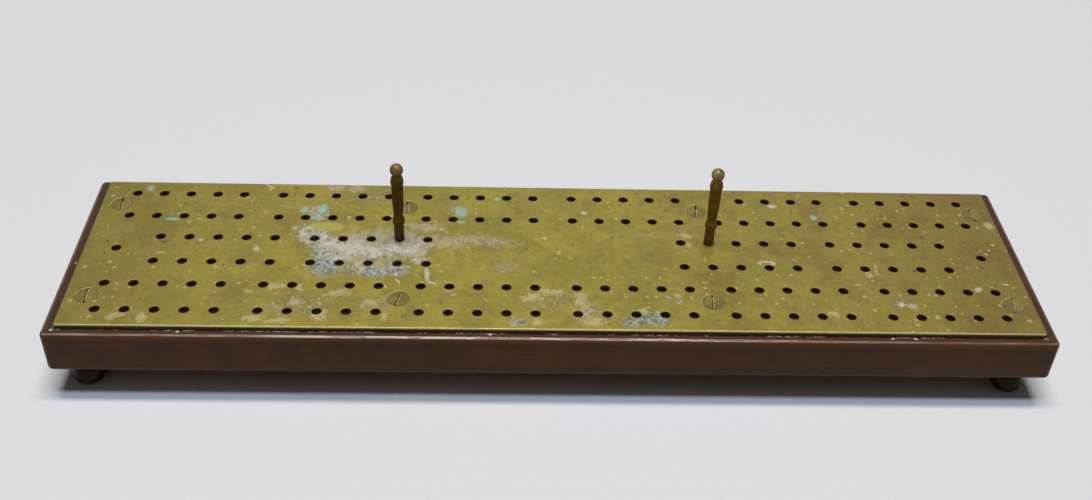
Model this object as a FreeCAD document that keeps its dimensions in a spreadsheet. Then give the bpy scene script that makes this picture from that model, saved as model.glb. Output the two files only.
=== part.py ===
import FreeCAD, Part
import math
import os
import Sketcher

# Cribbage box with a peg drawer, millimetres, +Z up.
# The origin is on the surface that the feet stand on, at the middle of the whole footprint, knob included.
# X runs along the board towards the drawer's knob, and Y towards the back.

SIZES = [
    # mahogany case
    ("board_length", 328.6),
    ("board_width", 83.4),
    ("board_height", 15.9),
    ("rail_thickness", 6.35),
    ("corner_radius", 2.0),
    ("top_arris_radius", 1.8),
    ("bottom_arris_radius", 1.6),
    ("bed_thickness", 5.6),
    ("bottom_thickness", 3.0),
    # brass plate: its middle is set a little off the case's middle
    ("plate_length", 319.8),
    ("plate_width", 77.3),
    ("plate_thickness", 1.85),
    ("plate_corner_radius", 0.8),
    ("plate_shift_y", -0.2),
    # peg holes, placed from the middle of their own pattern
    ("pattern_shift_y", 0.3),
    ("hole_radius", 1.65),
    ("hole_depth_in_wood", 4.6),
    ("hole_pitch", 9.5),
    ("group_pitch", 51.9),
    ("outer_row_y", 31.4),
    ("inner_row_y", 18.4),
    ("middle_row_y", 6.6),
    ("middle_hole_pitch", 9.75),
    ("middle_group_pitch", 52.6),
    ("middle_pair_pitch", 179.8),
    ("middle_first_x", -135.4),
    ("end_hole_x", 149.1),
    # plate screws
    ("screw_inner_x", 51.9),
    ("screw_outer_x", 152.9),
    ("screw_y", 24.9),
    ("screw_length", 12.0),
    ("screw_head_radius", 3.55),
    ("screw_shank_radius", 1.5),
    ("screw_clearance_radius", 1.75),
    ("screw_point_length", 3.0),
    ("screw_slot_width", 0.6),
    ("screw_slot_depth", 0.9),
    # turned feet
    ("foot_height", 11.5),
    ("foot_inset_x", 9.7),
    ("foot_inset_y", 9.3),
    ("foot_pad_radius", 2.8),
    ("foot_bun_radius", 5.45),
    ("foot_bun_height", 3.6),
    ("foot_bun_curve", 3.77),
    ("foot_neck_radius", 2.6),
    ("foot_neck_height", 7.8),
    ("foot_shoulder_curve", 5.12),
    ("foot_cove_top_radius", 4.0),
    ("foot_cove_curve", 2.1),
    ("foot_collar_radius", 4.3),
    ("foot_collar_height", 9.9),
    ("foot_collar_curve", 1.1),
    ("spigot_radius", 2.25),
    ("spigot_length", 6.0),
    # channel for the drawer
    ("channel_width", 40.6),
    ("stop_length", 8.0),
    ("stop_gap", 0.15),
    # drawer
    ("drawer_length", 150.0),
    ("drawer_width", 40.1),
    ("drawer_height", 6.85),
    ("drawer_lift", 0.15),
    ("drawer_lap", 3.35),
    ("drawer_wall", 2.0),
    ("drawer_floor", 1.2),
    ("drawer_rebate", 1.0),
    ("knob_reach", 4.2),
    ("knob_radius", 2.4),
    ("knob_rim_x", 2.4),
    ("knob_dome_curve", 2.5),
    ("knob_neck_x", 1.1),
    ("knob_neck_radius", 1.2),
    ("knob_hollow_curve", 3.0),
    ("knob_rose_radius", 2.1),
    ("knob_rose_thickness", 0.5),
    ("knob_tenon_length", 5.0),
    # pegs: holes counted from the first in their group, and heights above the plate
    ("peg_left_steps", 3),
    ("peg_right_steps", 1),
    ("peg_shank_radius", 1.6),
    ("peg_tip_radius", 1.35),
    ("peg_depth", 6.3),
    ("peg_shoulder_gap", 0.1),
    ("peg_foot_radius", 1.75),
    ("peg_step_radius", 1.7),
    ("peg_step_height", 6.95),
    ("peg_bead_radius", 2.06),
    ("peg_bead_low", 7.35),
    ("peg_bead_high", 8.8),
    ("peg_bead_curve", 4.0),
    ("peg_waist_radius", 1.6),
    ("peg_waist_height", 10.7),
    ("peg_waist_curve", 6.0),
    ("peg_barrel_radius", 2.0),
    ("peg_barrel_height", 22.4),
    ("peg_barrel_curve", 100.0),
    ("peg_groove_radius", 1.88),
    ("peg_groove_height", 22.8),
    ("peg_cap_radius", 2.1),
    ("peg_cap_height", 23.4),
    ("peg_cap_curve", 5.2),
    ("peg_neck_radius", 1.35),
    ("peg_neck_height", 27.45),
    ("peg_ball_radius", 2.25),
    ("peg_top_height", 31.5),
]

# Turn of each screw's slot from straight across the board, in degrees.
SLOT_TURNS = {
    ("inner", "back", "left"): 3.0,
    ("inner", "back", "right"): -3.0,
    ("inner", "front", "left"): -15.0,
    ("inner", "front", "right"): -2.0,
    ("outer", "back", "left"): 5.0,
    ("outer", "back", "right"): 4.0,
    ("outer", "front", "left"): 2.5,
    ("outer", "front", "right"): -6.5,
}

doc = FreeCAD.newDocument("cribbage_box")
sheet = doc.addObject("Spreadsheet::Sheet", "Sizes")
for row, (alias, number) in enumerate(SIZES, start=1):
    sheet.set("A%d" % row, alias)
    sheet.set("B%d" % row, str(number))
    sheet.setAlias("B%d" % row, alias)
doc.recompute()


class Size:
    """A length with its spreadsheet expression, so that one formula gives both."""

    def __init__(self, value, text):
        self.value = value
        self.text = text

    def joined(self, sign, other, value):
        return Size(value, "(%s %s %s)" % (self.text, sign, other.text))

    def __add__(self, other):
        other = as_size(other)
        return self.joined("+", other, self.value + other.value)

    def __sub__(self, other):
        other = as_size(other)
        return self.joined("-", other, self.value - other.value)

    def __mul__(self, other):
        other = as_size(other)
        return self.joined("*", other, self.value * other.value)

    def __truediv__(self, other):
        other = as_size(other)
        return self.joined("/", other, self.value / other.value)

    def __neg__(self):
        return self * -1


def as_size(item):
    if isinstance(item, Size):
        return item
    return Size(float(item), "(%r)" % float(item))


class Sheet:
    """The spreadsheet's sizes by name: size.board_length and so on."""

    def __getattr__(self, alias):
        return Size(float(getattr(sheet, alias)), "Sizes." + alias)


size = Sheet()
ZERO = as_size(0)

# Levels and places that several pieces share.
board_x = -size.knob_reach / 2
case_bottom_z = size.foot_height
plate_bottom_z = case_bottom_z + size.board_height
plate_top_z = plate_bottom_z + size.plate_thickness
channel_bottom_z = case_bottom_z + size.bottom_thickness
channel_height = size.board_height - size.bottom_thickness - size.bed_thickness
drawer_face_x = board_x + size.board_length / 2
pattern_y = size.pattern_shift_y
inside_half_length = size.board_length / 2 - size.rail_thickness
inside_half_width = size.board_width / 2 - size.rail_thickness
foot_x = size.board_length / 2 - size.foot_inset_x
foot_y = size.board_width / 2 - size.foot_inset_y


def new_body(name, x=ZERO, y=ZERO, z=ZERO, turn=0.0):
    """A body whose Label names its file, placed by expressions and turned about Z."""
    body = doc.addObject("PartDesign::Body", name)
    body.Label = name
    place(body, x, y, z, turn)
    return body


def place(item, x, y, z, turn=0.0):
    item.Placement = FreeCAD.Placement(FreeCAD.Vector(), FreeCAD.Rotation(FreeCAD.Vector(0, 0, 1), turn))
    for axis, length in zip("xyz", (x, y, z)):
        item.setExpression("Placement.Base." + axis, length.text)


def new_sketch(body, name, plane="XY_Plane", height=None):
    """An empty sketch on one of the body's own origin planes, raised by height along its normal."""
    sketch = body.newObject("Sketcher::SketchObject", name)
    support = [item for item in body.Origin.OriginFeatures if item.Role == plane]
    sketch.AttachmentSupport = (support[0], [""])
    sketch.MapMode = "FlatFace"
    if height is not None:
        sketch.setExpression("AttachmentOffset.Base.z", height.text)
    return sketch


def hold(sketch, kind, geometry, point, length):
    """Holds a point's coordinate, or an arc's radius, at a size from the sheet."""
    if kind == "Radius":
        index = sketch.addConstraint(Sketcher.Constraint("Radius", geometry, length.value))
    elif length is ZERO:
        axis = -2 if kind == "DistanceX" else -1
        sketch.addConstraint(Sketcher.Constraint("PointOnObject", geometry, point, axis))
        return
    else:
        index = sketch.addConstraint(Sketcher.Constraint(kind, -1, 1, geometry, point, length.value))
    sketch.setExpression("Constraints[%d]" % index, length.text)


def arc_between(start, end, radius):
    """The short arc from start to end. Its centre is on the left of the way if radius is over 0."""
    chord = end - start
    reach = math.sqrt(radius * radius - chord.Length * chord.Length / 4)
    side = FreeCAD.Vector(-chord.y, chord.x, 0).normalize()
    centre = start + chord * 0.5 + side * math.copysign(reach, radius)
    first, last = (start, end) if radius > 0 else (end, start)
    angles = [math.atan2(point.y - centre.y, point.x - centre.x) for point in (first, last)]
    circle = Part.Circle(centre, FreeCAD.Vector(0, 0, 1), abs(radius))
    return Part.ArcOfCircle(circle, angles[0], angles[1])


def outline(sketch, corners):
    """Draws a closed outline, anticlockwise.

    Each corner is (x, y), reached by a straight line, or (x, y, radius), reached by an arc: a radius
    over 0 swells outwards and one under 0 is a hollow.
    """
    points = [FreeCAD.Vector(corner[0].value, corner[1].value, 0) for corner in corners]
    starts = []
    ends = []
    for index, corner in enumerate(corners):
        start = points[index - 1]
        end = points[index]
        if len(corner) == 2:
            geometry = sketch.addGeometry(Part.LineSegment(start, end), False)
            starts.append((geometry, 1))
            ends.append((geometry, 2))
            continue
        geometry = sketch.addGeometry(arc_between(start, end, corner[2].value), False)
        forwards = corner[2].value > 0
        starts.append((geometry, 1 if forwards else 2))
        ends.append((geometry, 2 if forwards else 1))
    joints = []
    for index, (geometry, point) in enumerate(starts):
        joints.append(Sketcher.Constraint("Coincident", *ends[index - 1], geometry, point))
    sketch.addConstraint(joints)
    for (geometry, point), corner in zip(ends, corners):
        hold(sketch, "DistanceX", geometry, point, corner[0])
        hold(sketch, "DistanceY", geometry, point, corner[1])
        if len(corner) == 3:
            radius = corner[2] if corner[2].value > 0 else -corner[2]
            hold(sketch, "Radius", geometry, None, radius)


def rectangle(sketch, x_low, x_high, y_low, y_high):
    outline(sketch, [(x_low, y_low), (x_high, y_low), (x_high, y_high), (x_low, y_high)])


def circles(sketch, centres, radius):
    for x, y in centres:
        centre = FreeCAD.Vector(x.value, y.value, 0)
        geometry = sketch.addGeometry(Part.Circle(centre, FreeCAD.Vector(0, 0, 1), radius.value), False)
        hold(sketch, "DistanceX", geometry, 3, x)
        hold(sketch, "DistanceY", geometry, 3, y)
        hold(sketch, "Radius", geometry, None, radius)


def pad(body, sketch, length, downwards=False):
    feature = body.newObject("PartDesign::Pad", sketch.Name + "_pad")
    feature.Profile = sketch
    feature.setExpression("Length", length.text)
    feature.Reversed = downwards
    sketch.Visibility = False
    return feature


def pocket(body, sketch, length, upwards=False):
    """Cuts against the sketch's normal, or along it if upwards."""
    feature = body.newObject("PartDesign::Pocket", sketch.Name + "_pocket")
    feature.Profile = sketch
    feature.setExpression("Length", length.text)
    feature.Reversed = upwards
    return feature


def revolve(body, sketch, axis="V_Axis"):
    feature = body.newObject("PartDesign::Revolution", sketch.Name + "_turned")
    feature.Profile = sketch
    feature.ReferenceAxis = (sketch, [axis])
    feature.Angle = 360
    return feature


def origin_part(body, role):
    return [item for item in body.Origin.OriginFeatures if item.Role == role][0]


def repeated(body, originals, name, steps):
    """Repeats features by one step after another.

    A step is ("row", pitch, count) along X, or ("mirror", plane).
    """
    feature = body.newObject("PartDesign::MultiTransform", name)
    feature.Originals = originals
    parts = []
    for number, step in enumerate(steps, start=1):
        if step[0] == "row":
            part = doc.addObject("PartDesign::LinearPattern", "%s_row_%d" % (name, number))
            part.Direction = (origin_part(body, "X_Axis"), [""])
            part.setExpression("Length", (step[1] * (step[2] - 1)).text)
            part.Occurrences = step[2]
        else:
            part = doc.addObject("PartDesign::Mirrored", "%s_mirror_%d" % (name, number))
            part.MirrorPlane = (origin_part(body, step[1]), [""])
        body.Group = body.Group + [part]
        parts.append(part)
    feature.Transformations = parts
    body.Tip = feature
    return feature


def round_edges(body, base, name, radius, chosen):
    """Fillets the edges of a feature that chosen(edge) picks."""
    doc.recompute()
    names = ["Edge%d" % (index + 1) for index, edge in enumerate(base.Shape.Edges) if chosen(edge)]
    feature = body.newObject("PartDesign::Fillet", name)
    feature.Base = (base, names)
    feature.setExpression("Radius", radius.text)
    return feature


def flat_board(name, x_low, x_high, y_low, y_high, z, thickness, x=board_x, y=ZERO, downwards=False):
    """A rectangular board, padded up from z, or down from it."""
    body = new_body(name, x, y, z)
    plan = new_sketch(body, name + "_plan")
    rectangle(plan, x_low, x_high, y_low, y_high)
    pad(body, plan, thickness, downwards)
    return body


# ---- case ----

def mitred_rail(name, length, x, y, turn):
    """One side of the case. Its outer face is at local y = 0, and its rounded ends are mitred."""
    body = new_body(name, x, y, case_bottom_z, turn)
    flat_end = length / 2 - size.corner_radius
    mitre_in = size.corner_radius * (1 - math.sqrt(0.5))
    mitre_tip = length / 2 - mitre_in
    inner_end = length / 2 - size.rail_thickness
    plan = new_sketch(body, name + "_plan")
    outline(plan, [
        (flat_end, ZERO),
        (mitre_tip, mitre_in, size.corner_radius),
        (inner_end, size.rail_thickness),
        (-inner_end, size.rail_thickness),
        (-mitre_tip, mitre_in),
        (-flat_end, ZERO, size.corner_radius),
    ])
    feature = pad(body, plan, size.board_height)

    def outer_edge_at(height):
        def chosen(edge):
            middle = edge.CenterOfMass
            return abs(middle.z - height) < 0.01 and middle.y < size.rail_thickness.value / 4
        return chosen

    top = outer_edge_at(size.board_height.value)
    feature = round_edges(body, feature, name + "_top_arris", size.top_arris_radius, top)
    round_edges(body, feature, name + "_bottom_arris", size.bottom_arris_radius, outer_edge_at(0))
    return body


def drawer_mouth(rail):
    """The opening that the drawer runs through."""
    sketch = new_sketch(rail, "drawer_mouth", "XZ_Plane")
    half = size.channel_width / 2
    low = size.bottom_thickness
    rectangle(sketch, -half, half, low, low + channel_height)
    pocket(rail, sketch, size.rail_thickness)


def drill_peg_holes(body, depth):
    """Bores every peg hole down from local z = 0. Local x = y = 0 is the middle of the hole pattern."""
    name = body.Name
    first_x = -size.group_pitch * 2.5 - size.hole_pitch * 2
    tracks = new_sketch(body, name + "_tracks")
    circles(tracks, [(first_x, size.outer_row_y), (first_x, size.inner_row_y)], size.hole_radius)
    track_steps = [("row", size.hole_pitch, 5), ("row", size.group_pitch, 6), ("mirror", "XZ_Plane")]
    repeated(body, [pocket(body, tracks, depth)], name + "_track_groups", track_steps)

    middle = new_sketch(body, name + "_middle")
    circles(middle, [(size.middle_first_x, size.middle_row_y)], size.hole_radius)
    middle_steps = [
        ("row", size.middle_hole_pitch, 5),
        ("row", size.middle_group_pitch, 2),
        ("row", size.middle_pair_pitch, 2),
        ("mirror", "XZ_Plane"),
    ]
    repeated(body, [pocket(body, middle, depth)], name + "_middle_groups", middle_steps)

    ends = new_sketch(body, name + "_ends")
    circles(ends, [(size.end_hole_x, ZERO), (-size.end_hole_x, ZERO)], size.hole_radius)
    pocket(body, ends, depth)


def screw_places(sides=(1, -1)):
    """The plate screws' places from the middle of the hole pattern."""
    places = []
    for x in (size.screw_inner_x, size.screw_outer_x):
        for side in sides:
            places.append((x, size.screw_y * side))
            places.append((-x, size.screw_y * side))
    return places


def make_peg_bed():
    """The board under the plate: blind peg holes, and screw holes right through."""
    front = -inside_half_width - size.pattern_shift_y
    back = inside_half_width - size.pattern_shift_y
    body = flat_board("peg_bed", -inside_half_length, inside_half_length, front, back, plate_bottom_z,
                      size.bed_thickness, board_x, pattern_y, downwards=True)
    drill_peg_holes(body, size.hole_depth_in_wood)
    screws = new_sketch(body, "peg_bed_screw_holes")
    circles(screws, screw_places(), size.screw_shank_radius)
    pocket(body, screws, size.bed_thickness)
    return body


def make_brass_plate():
    """The playing surface: peg holes and countersunk screw holes, with slightly eased corners."""
    body = new_body("brass_plate", board_x, pattern_y, plate_top_z)
    middle_y = size.plate_shift_y - size.pattern_shift_y
    right = size.plate_length / 2
    left = -right
    front = middle_y - size.plate_width / 2
    back = middle_y + size.plate_width / 2
    ease = size.plate_corner_radius
    plan = new_sketch(body, "plate_plan")
    outline(plan, [
        (right - ease, front),
        (right, front + ease, ease), (right, back - ease),
        (right - ease, back, ease), (left + ease, back),
        (left, back - ease, ease), (left, front + ease),
        (left + ease, front, ease),
    ])
    pad(body, plan, size.plate_thickness, downwards=True)
    drill_peg_holes(body, size.plate_thickness)
    screws = new_sketch(body, "plate_screw_holes")
    circles(screws, screw_places(), size.screw_clearance_radius)
    doc.recompute()
    holes = body.newObject("PartDesign::Hole", "plate_countersinks")
    holes.Profile = screws
    doc.recompute()
    holes.DepthType = "ThroughAll"
    holes.HoleCutType = "Countersink"
    holes.HoleCutCustomValues = True
    holes.HoleCutCountersinkAngle = 90
    holes.setExpression("Diameter", (size.screw_clearance_radius * 2).text)
    holes.setExpression("HoleCutDiameter", (size.screw_head_radius * 2).text)
    return body


def make_bottom_board():
    """Closes the case from below, flush with the rails, and takes the feet's spigots."""
    body = flat_board("bottom_board", -inside_half_length, inside_half_length, -inside_half_width,
                      inside_half_width, case_bottom_z, size.bottom_thickness)
    sockets = new_sketch(body, "bottom_board_sockets")
    places = [(foot_x * sx, foot_y * sy) for sx in (1, -1) for sy in (1, -1)]
    circles(sockets, places, size.spigot_radius)
    pocket(body, sockets, size.bottom_thickness, upwards=True)
    return body


def make_drawer_guide(name, side):
    """Fills the case beside the drawer's channel. side is 1 at the back and -1 at the front."""
    near = size.channel_width / 2 * side
    far = inside_half_width * side
    body = flat_board(name, -inside_half_length, inside_half_length, near, far,
                      channel_bottom_z, channel_height)
    pilots = new_sketch(body, name + "_pilots", height=channel_height)
    centres = [(x, size.pattern_shift_y + y) for x, y in screw_places((side,))]
    circles(pilots, centres, size.screw_shank_radius)
    pocket(body, pilots, size.screw_length - size.plate_thickness - size.bed_thickness)
    sockets = new_sketch(body, name + "_sockets")
    circles(sockets, [(foot_x, foot_y * side), (-foot_x, foot_y * side)], size.spigot_radius)
    pocket(body, sockets, size.spigot_length - size.bottom_thickness, upwards=True)
    return body


def make_drawer_stop():
    """A block across the channel behind the drawer."""
    right = size.board_length / 2 - size.drawer_length - size.stop_gap
    half = size.channel_width / 2
    return flat_board("drawer_stop", right - size.stop_length, right, -half, half,
                      channel_bottom_z, channel_height)


def make_foot(name, side_x, side_y):
    """A turned bun foot with a neck and a collar, and the spigot that holds it."""
    body = new_body(name, board_x + foot_x * side_x, foot_y * side_y)
    profile = new_sketch(body, name + "_profile", "XZ_Plane")
    top = size.foot_height + size.spigot_length
    outline(profile, [
        (ZERO, ZERO),
        (size.foot_pad_radius, ZERO),
        (size.foot_bun_radius, size.foot_bun_height, size.foot_bun_curve),
        (size.foot_neck_radius, size.foot_neck_height, size.foot_shoulder_curve),
        (size.foot_cove_top_radius, size.foot_collar_height, -size.foot_cove_curve),
        (size.foot_collar_radius, size.foot_collar_height),
        (size.foot_collar_radius, size.foot_height, size.foot_collar_curve),
        (size.spigot_radius, size.foot_height),
        (size.spigot_radius, top),
        (ZERO, top),
    ])
    revolve(body, profile)
    return body


def make_plate_screws():
    """Slotted countersunk wood screws, one solid for each of the eight holes."""
    screw = new_body("plate_screw")
    profile = new_sketch(screw, "screw_profile", "XZ_Plane")
    head = size.screw_head_radius
    shank = size.screw_shank_radius
    under_head = -size.plate_thickness
    outline(profile, [
        (ZERO, -size.screw_length),
        (shank, -size.screw_length + size.screw_point_length),
        (shank, under_head),
        (head + under_head, under_head),
        (head, ZERO),
        (ZERO, ZERO),
    ])
    revolve(screw, profile)
    slot = new_sketch(screw, "screw_slot")
    rectangle(slot, -size.screw_slot_width / 2, size.screw_slot_width / 2, -head * 1.1, head * 1.1)
    pocket(screw, slot, size.screw_slot_depth)

    links = []
    for place_name, turn in SLOT_TURNS.items():
        column, row, end = place_name
        x = size.screw_inner_x if column == "inner" else size.screw_outer_x
        link = doc.addObject("App::Link", "screw_%s_%s_%s" % place_name)
        link.LinkedObject = screw
        x = x * (1 if end == "right" else -1)
        y = size.screw_y * (1 if row == "back" else -1)
        place(link, board_x + x, pattern_y + y, plate_top_z, turn)
        links.append(link)
    group = doc.addObject("Part::Compound", "plate_screws")
    group.Label = "plate_screws"
    group.Links = links
    return group


# ---- drawer: local x = 0 is its face, and it runs back to -drawer_length ----

def new_drawer_body(name):
    return new_body(name, drawer_face_x, ZERO, channel_bottom_z + size.drawer_lift)


drawer_half = size.drawer_width / 2
drawer_inner_half = drawer_half - size.drawer_wall
drawer_floor_half = drawer_inner_half + size.drawer_rebate
wall_height = size.drawer_height - size.drawer_floor


def make_drawer_front():
    """Lapped over the sides' ends, rebated for the floor and bored for the knob's tenon."""
    body = new_drawer_body("drawer_front")
    plan = new_sketch(body, "drawer_front_plan")
    depth = -size.rail_thickness
    lap = -size.drawer_lap
    outline(plan, [
        (depth, -drawer_inner_half), (lap, -drawer_inner_half), (lap, -drawer_half), (ZERO, -drawer_half),
        (ZERO, drawer_half), (lap, drawer_half), (lap, drawer_inner_half), (depth, drawer_inner_half),
    ])
    pad(body, plan, size.drawer_height)
    rebate = new_sketch(body, "drawer_front_rebate")
    rectangle(rebate, depth, lap, -drawer_inner_half, drawer_inner_half)
    pocket(body, rebate, size.drawer_floor, upwards=True)
    bore = new_sketch(body, "knob_bore", "YZ_Plane")
    circles(bore, [(ZERO, size.drawer_height / 2)], size.knob_neck_radius)
    pocket(body, bore, size.knob_tenon_length)
    return body


def make_drawer_side(name, side):
    """side is 1 at the back and -1 at the front."""
    body = new_drawer_body(name)
    section = new_sketch(body, name + "_section", "YZ_Plane", -size.drawer_lap)
    outer = drawer_half * side
    inner = drawer_inner_half * side
    floor_edge = drawer_floor_half * side
    outline(section, [
        (outer, ZERO), (outer, size.drawer_height), (inner, size.drawer_height),
        (inner, size.drawer_floor), (floor_edge, size.drawer_floor), (floor_edge, ZERO),
    ])
    pad(body, section, size.drawer_length - size.drawer_lap, downwards=True)
    return body


def make_drawer_back():
    level = channel_bottom_z + size.drawer_lift + size.drawer_floor
    end = -size.drawer_length
    return flat_board("drawer_back", end, end + size.drawer_wall, -drawer_inner_half, drawer_inner_half,
                      level, wall_height, drawer_face_x)


def make_drawer_bottom():
    return flat_board("drawer_bottom", -size.drawer_length, -size.drawer_lap, -drawer_floor_half,
                      drawer_floor_half, channel_bottom_z + size.drawer_lift, size.drawer_floor,
                      drawer_face_x)


def make_drawer_knob():
    """A turned knob on the X axis: domed head, hollow neck, rose and tenon."""
    body = new_body("drawer_knob", drawer_face_x, ZERO,
                    channel_bottom_z + size.drawer_lift + size.drawer_height / 2)
    profile = new_sketch(body, "knob_profile")
    outline(profile, [
        (-size.knob_tenon_length, ZERO),
        (size.knob_reach, ZERO),
        (size.knob_rim_x, size.knob_radius, size.knob_dome_curve),
        (size.knob_neck_x, size.knob_neck_radius, -size.knob_hollow_curve),
        (size.knob_rose_thickness, size.knob_neck_radius),
        (size.knob_rose_thickness, size.knob_rose_radius),
        (ZERO, size.knob_rose_radius),
        (ZERO, size.knob_neck_radius),
        (-size.knob_tenon_length, size.knob_neck_radius),
    ])
    revolve(body, profile, "H_Axis")
    return body


# ---- pegs ----

def make_peg(name, x):
    """A turned brass peg. Local z = 0 is the plate's top."""
    body = new_body(name, board_x + x, pattern_y + size.middle_row_y, plate_top_z)
    profile = new_sketch(body, name + "_profile", "XZ_Plane")
    shank = size.peg_shank_radius
    tip_ease = shank - size.peg_tip_radius
    outline(profile, [
        (ZERO, -size.peg_depth),
        (size.peg_tip_radius, -size.peg_depth),
        (shank, -size.peg_depth + tip_ease),
        (shank, size.peg_shoulder_gap),
        (size.peg_foot_radius, size.peg_shoulder_gap),
        (size.peg_step_radius, size.peg_step_height),
        (size.peg_bead_radius, size.peg_bead_low),
        (size.peg_bead_radius, size.peg_bead_high, size.peg_bead_curve),
        (size.peg_waist_radius, size.peg_waist_height, -size.peg_waist_curve),
        (size.peg_barrel_radius, size.peg_barrel_height, size.peg_barrel_curve),
        (size.peg_groove_radius, size.peg_groove_height),
        (size.peg_cap_radius, size.peg_cap_height),
        (size.peg_neck_radius, size.peg_neck_height, size.peg_cap_curve),
        (ZERO, size.peg_top_height, size.peg_ball_radius),
    ])
    revolve(body, profile)
    return body


# ---- the whole box ----

# both pegs stand in the back middle row: the left one in the second group, the right one in the third
peg_left_x = size.middle_first_x + size.middle_group_pitch + size.middle_hole_pitch * size.peg_left_steps
peg_right_x = size.middle_first_x + size.middle_pair_pitch + size.middle_hole_pitch * size.peg_right_steps

right_end_rail = mitred_rail("right_end_rail", size.board_width, drawer_face_x, ZERO, 90)
drawer_mouth(right_end_rail)

sub_parts = [
    mitred_rail("front_rail", size.board_length, board_x, -size.board_width / 2, 0),
    mitred_rail("back_rail", size.board_length, board_x, size.board_width / 2, 180),
    mitred_rail("left_end_rail", size.board_width, board_x - size.board_length / 2, ZERO, -90),
    right_end_rail,
    make_peg_bed(),
    make_bottom_board(),
    make_drawer_guide("drawer_guide_front", -1),
    make_drawer_guide("drawer_guide_back", 1),
    make_drawer_stop(),
    make_brass_plate(),
    make_plate_screws(),
    make_foot("foot_front_left", -1, -1),
    make_foot("foot_front_right", 1, -1),
    make_foot("foot_back_left", -1, 1),
    make_foot("foot_back_right", 1, 1),
    make_drawer_front(),
    make_drawer_side("drawer_side_front", -1),
    make_drawer_side("drawer_side_back", 1),
    make_drawer_back(),
    make_drawer_bottom(),
    make_drawer_knob(),
    make_peg("peg_left", peg_left_x),
    make_peg("peg_right", peg_right_x),
]
doc.recompute()

for item in doc.Objects:
    if "Invalid" in item.State or "Error" in item.State:
        raise RuntimeError("%s failed: %s" % (item.Name, item.State))
for part in sub_parts:
    if part.Shape.isNull() or not part.Shape.isValid():
        raise RuntimeError("%s has no valid shape" % part.Label)

os.makedirs("parts", exist_ok=True)
for part in sub_parts:
    part.Shape.exportStep("parts/%s.step" % part.Label)
    print("%-20s %2d solids %10.1f mm3" % (part.Label, len(part.Shape.Solids), part.Shape.Volume))
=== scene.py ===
import math
import random

import bmesh
import bpy
from mathutils import Matrix, Vector, noise


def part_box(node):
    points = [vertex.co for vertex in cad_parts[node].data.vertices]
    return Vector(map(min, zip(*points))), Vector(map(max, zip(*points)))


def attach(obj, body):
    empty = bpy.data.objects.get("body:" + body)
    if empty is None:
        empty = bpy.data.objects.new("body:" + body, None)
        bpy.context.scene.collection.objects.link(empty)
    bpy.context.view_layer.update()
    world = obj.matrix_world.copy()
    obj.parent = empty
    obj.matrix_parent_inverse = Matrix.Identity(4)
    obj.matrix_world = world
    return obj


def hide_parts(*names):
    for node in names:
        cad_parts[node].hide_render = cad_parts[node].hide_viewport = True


# Cribbage box: brass peg board on a mahogany case, with turned feet, a peg drawer and two pegs.
# Lengths are in millimetres, like the CAD model's, and become metres at MM. Only the room's are in metres.

MM = 0.001

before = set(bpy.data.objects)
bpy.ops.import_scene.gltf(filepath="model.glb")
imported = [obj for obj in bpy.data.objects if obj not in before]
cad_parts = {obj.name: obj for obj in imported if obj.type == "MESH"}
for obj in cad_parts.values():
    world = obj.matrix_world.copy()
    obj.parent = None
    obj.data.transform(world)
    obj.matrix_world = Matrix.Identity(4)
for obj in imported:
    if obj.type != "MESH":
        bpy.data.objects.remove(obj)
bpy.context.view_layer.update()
random.seed(19)


# ---- sizes ----

# The peg holes, as in the CAD model: places from the middle of the pattern, and pitches along the rows.
# The two middle rows have two pairs of groups and pitches of their own.
HOLE_RADIUS = 1.65
HOLE_PITCH = 9.5
GROUP_PITCH = 51.9
GROUPS_IN_ROW = 6
HOLES_IN_GROUP = 5
OUTER_ROWS = (31.4, 18.4)
MIDDLE_ROW = 6.6
MIDDLE_FIRST = -135.4
MIDDLE_PITCH = 9.75
MIDDLE_GROUP_PITCH = 52.6
MIDDLE_PAIR_PITCH = 179.8
END_HOLE = 149.1
PATTERN_SHIFT_Y = 0.3

# The screws, as in the CAD model.
SCREW_X = (51.9, 152.9)
SCREW_Y = 24.9
SCREW_HEAD_RADIUS = 3.55
SCREW_SEAT_RADIUS = 3.63

# The plate's rims. An arris bends at a share of its width, and grime lies on the level top beside it.
PLATE_CORNER = 0.8
PLATE_CORNER_LEAST = 0.3
PLATE_ARRIS = 0.28
HOLE_ARRIS = 0.16
SEAT_ARRIS = 0.04
ARRIS_BEND = 0.3
GRIME_WIDTH = 0.6
SEAT_GRIME_REACH = 0.45
CORNER_SIDES = 4
HOLE_SIDES = 28
SEAT_SIDES = 48

# The plate's edge waves as if filed by hand: a point at each step, how deep, and how quickly it changes.
FILED_STEP = 3.0
FILED_DEPTH = 0.09
FILED_WAVE = 0.21

# The least turn between two faces, in degrees, that is shaded as a sharp edge.
SHARP_ANGLE = 50

# How dirty a rim is, from 0 to 1, and the arc of each screw's seat that gets a painted highlight, in degrees.
EDGE_DIRT = 0.4
HOLE_DIRT = (0.25, 1.0)
SEAT_HIGHLIGHT_START = (70, 110)
SEAT_HIGHLIGHT_ARC = 110

# Dried polish in a screw's slot: how far its straight side is off the slot's middle, its width,
# how much and how quickly that waves, and how far its top and foot are under the plate's top.
POLISH_SIDE = 0.27
POLISH_WIDTH = 0.24
POLISH_WAVE = 0.08
POLISH_RAGGEDNESS = 1.7
POLISH_TOP = 0.1
POLISH_FOOT = 0.85
POLISH_STEPS = 12

# Heights on a peg above the plate: the groove under its ball, and where the ball starts.
PEG_GROOVE = (22.4, 23.4)
PEG_BALL = 27.4

# A painted highlight lies along the long arrises, palest round this x, on a line a little above the middle of
# their curve.
HIGHLIGHT_MIDDLE = -10.0
HIGHLIGHT_RISE = 0.35
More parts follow.
